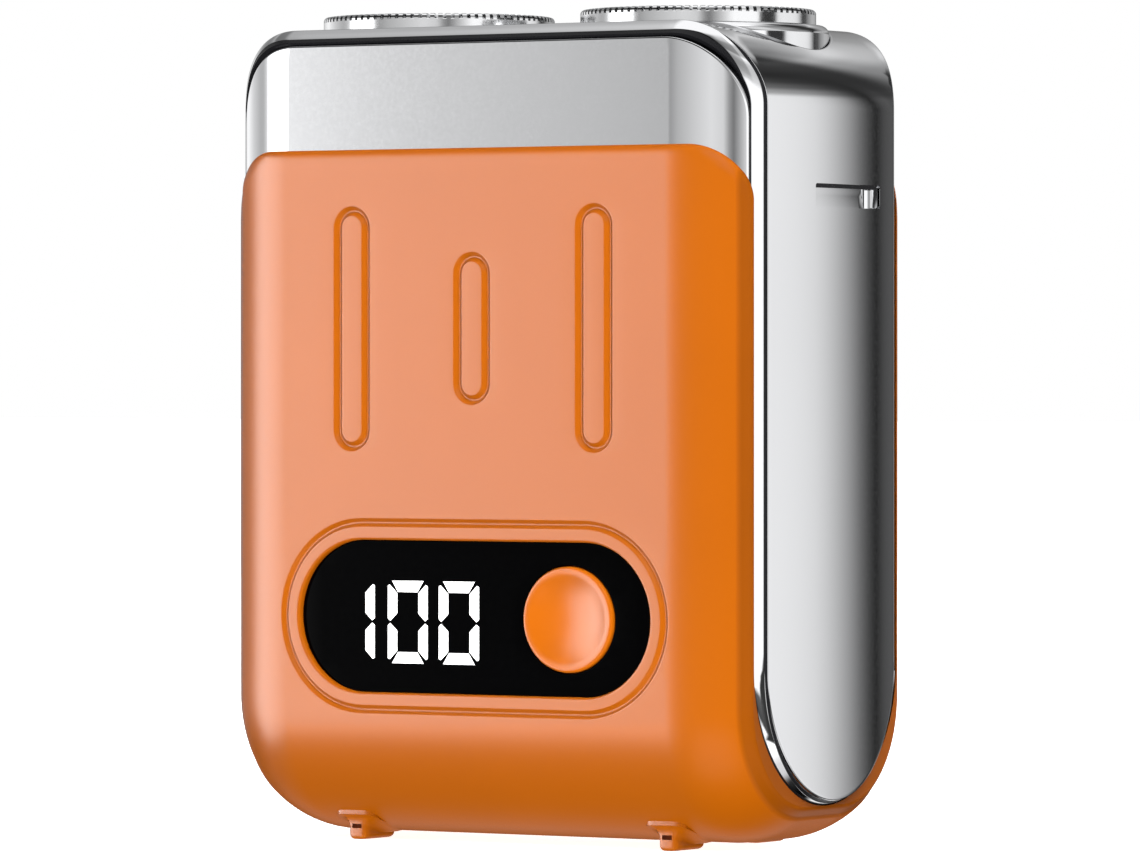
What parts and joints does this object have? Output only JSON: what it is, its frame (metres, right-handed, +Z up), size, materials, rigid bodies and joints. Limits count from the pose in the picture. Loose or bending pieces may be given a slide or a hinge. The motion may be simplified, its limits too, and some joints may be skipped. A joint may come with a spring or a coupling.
{
  "type": "rotary shaver",
  "caption": "Pocket rotary shaver in a suitcase-like polished body with an orange wrap-round cover, lit display, dished button and round shaving heads on a lift-off deck.",
  "frame": {"origin": "centre of the footprint at the undersides of the feet", "axes": "+Z up towards the shaving heads, -Y out of the front with the display, +X towards the side face with the nail notch"},
  "size_m": [0.062, 0.0348, 0.0821],
  "materials": {
    "polished_casing": "mirror-polished plating",
    "polished_shell": "mirror-polished plating",
    "polished_deck": "mirror-polished plating",
    "orange_cover": "satin soft-touch orange",
    "orange_button": "satin orange, dished",
    "black_window": "gloss black",
    "lit_digits": "lit white",
    "black_plastic": "fine moulded texture",
    "grey_plastic": "fine moulded texture",
    "white_plastic": "moulded",
    "gear_plastic": "natural acetal",
    "circuit_board": "green solder mask",
    "battery_sleeve": "shrink sleeve",
    "nickel": "bright nickel strip",
    "magnet_nickel": "nickel plated",
    "motor_steel": "plated can",
    "ferrite": "ground ferrite",
    "rotor_copper": "laminations and copper winding",
    "brass": "machined",
    "pin_steel": "ground steel pin",
    "screw_steel": "zinc plated",
    "socket_steel": "drawn steel shell",
    "spring_steel": "spring wire",
    "foil_steel": "polished thin steel",
    "foil_cap_steel": "spun disc",
    "cutter_steel": "ground blades",
    "seal_rubber": "black silicone"
  },
  "bodies": {
    "casing": {"chrome_frame": "polished_casing", "front_shell": "polished_shell", "rear_shell": "polished_shell", "wrap_cover": "orange_cover", "display_window": "black_window", "display_digits": "lit_digits", "display_module": "black_plastic", "tact_switch": "black_plastic", "main_board": "circuit_board", "board_screws": "screw_steel", "usb_socket": "socket_steel", "charge_board": "circuit_board", "battery_cell": "battery_sleeve", "battery_cradle": "grey_plastic", "battery_tabs": "nickel", "chassis": "grey_plastic", "motor_can": "motor_steel", "motor_magnets": "ferrite", "motor_end_cap": "white_plastic", "motor_screws": "screw_steel", "axle_left": "pin_steel", "axle_right": "pin_steel", "gearbox_cover": "grey_plastic", "cover_screws": "screw_steel", "shaft_seals": "seal_rubber", "body_magnet": "magnet_nickel"},
    "button": {"power_button": "orange_button"},
    "rotor": {"motor_rotor": "rotor_copper", "motor_pinion": "brass"},
    "deck": {"deck_gasket": "seal_rubber", "head_deck": "polished_deck", "retaining_plate": "black_plastic", "retaining_screws": "screw_steel", "deck_magnet": "magnet_nickel"},
    "drive_left": {"drive_gear_left": "gear_plastic", "coupler_spring_left": "spring_steel"},
    "coupler_body_left": {"coupler_left": "black_plastic"},
    "foil_body_left": {"foil_left": "foil_steel", "foil_cap_left": "foil_cap_steel"},
    "cutter_body_left": {"cutter_left": "cutter_steel", "cutter_hub_left": "black_plastic"},
    "drive_right": {"drive_gear_right": "gear_plastic", "coupler_spring_right": "spring_steel"},
    "coupler_body_right": {"coupler_right": "black_plastic"},
    "foil_body_right": {"foil_right": "foil_steel", "foil_cap_right": "foil_cap_steel"},
    "cutter_body_right": {"cutter_right": "cutter_steel", "cutter_hub_right": "black_plastic"}
  },
  "joints": [
    {"name": "button_press", "type": "slide", "parent": "casing", "child": "button", "axis": [0, 1, 0], "range_m": [0, 0.0005], "stiffness_N_per_m": 3000, "springref_m": -0.0001},
    {"name": "deck_lift", "type": "slide", "parent": "casing", "child": "deck", "axis": [0, 0, 1], "range_m": [0, 0.02]},
    {"name": "motor_spin", "type": "hinge", "parent": "casing", "child": "rotor", "pos_m": [0, 0, 0.05], "axis": [0, 0, 1], "continuous": true},
    {"name": "drive_spin_left", "type": "hinge", "parent": "casing", "child": "drive_left", "pos_m": [-0.01525, 0, 0.0645], "axis": [0, 0, 1], "continuous": true},
    {"name": "foil_float_left", "type": "slide", "parent": "deck", "child": "foil_body_left", "axis": [0, 0, 1], "range_m": [-0.0008, 0], "stiffness_N_per_m": 800, "springref_m": 0.0005},
    {"name": "coupler_plunge_left", "type": "slide", "parent": "drive_left", "child": "coupler_body_left", "axis": [0, 0, 1], "range_m": [-0.0008, 0], "stiffness_N_per_m": 800, "springref_m": 0.0005, "deforming": ["coupler_spring_left"]},
    {"name": "cutter_spin_left", "type": "hinge", "parent": "foil_body_left", "child": "cutter_body_left", "pos_m": [-0.01525, 0, 0.0789], "axis": [0, 0, 1], "continuous": true},
    {"name": "drive_spin_right", "type": "hinge", "parent": "casing", "child": "drive_right", "pos_m": [0.01525, 0, 0.0645], "axis": [0, 0, 1], "continuous": true},
    {"name": "foil_float_right", "type": "slide", "parent": "deck", "child": "foil_body_right", "axis": [0, 0, 1], "range_m": [-0.0008, 0], "stiffness_N_per_m": 800, "springref_m": 0.0005},
    {"name": "coupler_plunge_right", "type": "slide", "parent": "drive_right", "child": "coupler_body_right", "axis": [0, 0, 1], "range_m": [-0.0008, 0], "stiffness_N_per_m": 800, "springref_m": 0.0005, "deforming": ["coupler_spring_right"]},
    {"name": "cutter_spin_right", "type": "hinge", "parent": "foil_body_right", "child": "cutter_body_right", "pos_m": [0.01525, 0, 0.0789], "axis": [0, 0, 1], "continuous": true}
  ],
  "couplings": [
    {"joint": "drive_spin_left", "follows": "motor_spin", "ratio": -0.27083},
    {"joint": "cutter_spin_left", "follows": "motor_spin", "ratio": -0.27083},
    {"joint": "coupler_plunge_left", "follows": "foil_float_left", "ratio": 1},
    {"joint": "drive_spin_right", "follows": "motor_spin", "ratio": -0.27083},
    {"joint": "cutter_spin_right", "follows": "motor_spin", "ratio": -0.27083},
    {"joint": "coupler_plunge_right", "follows": "foil_float_right", "ratio": 1}
  ]
}
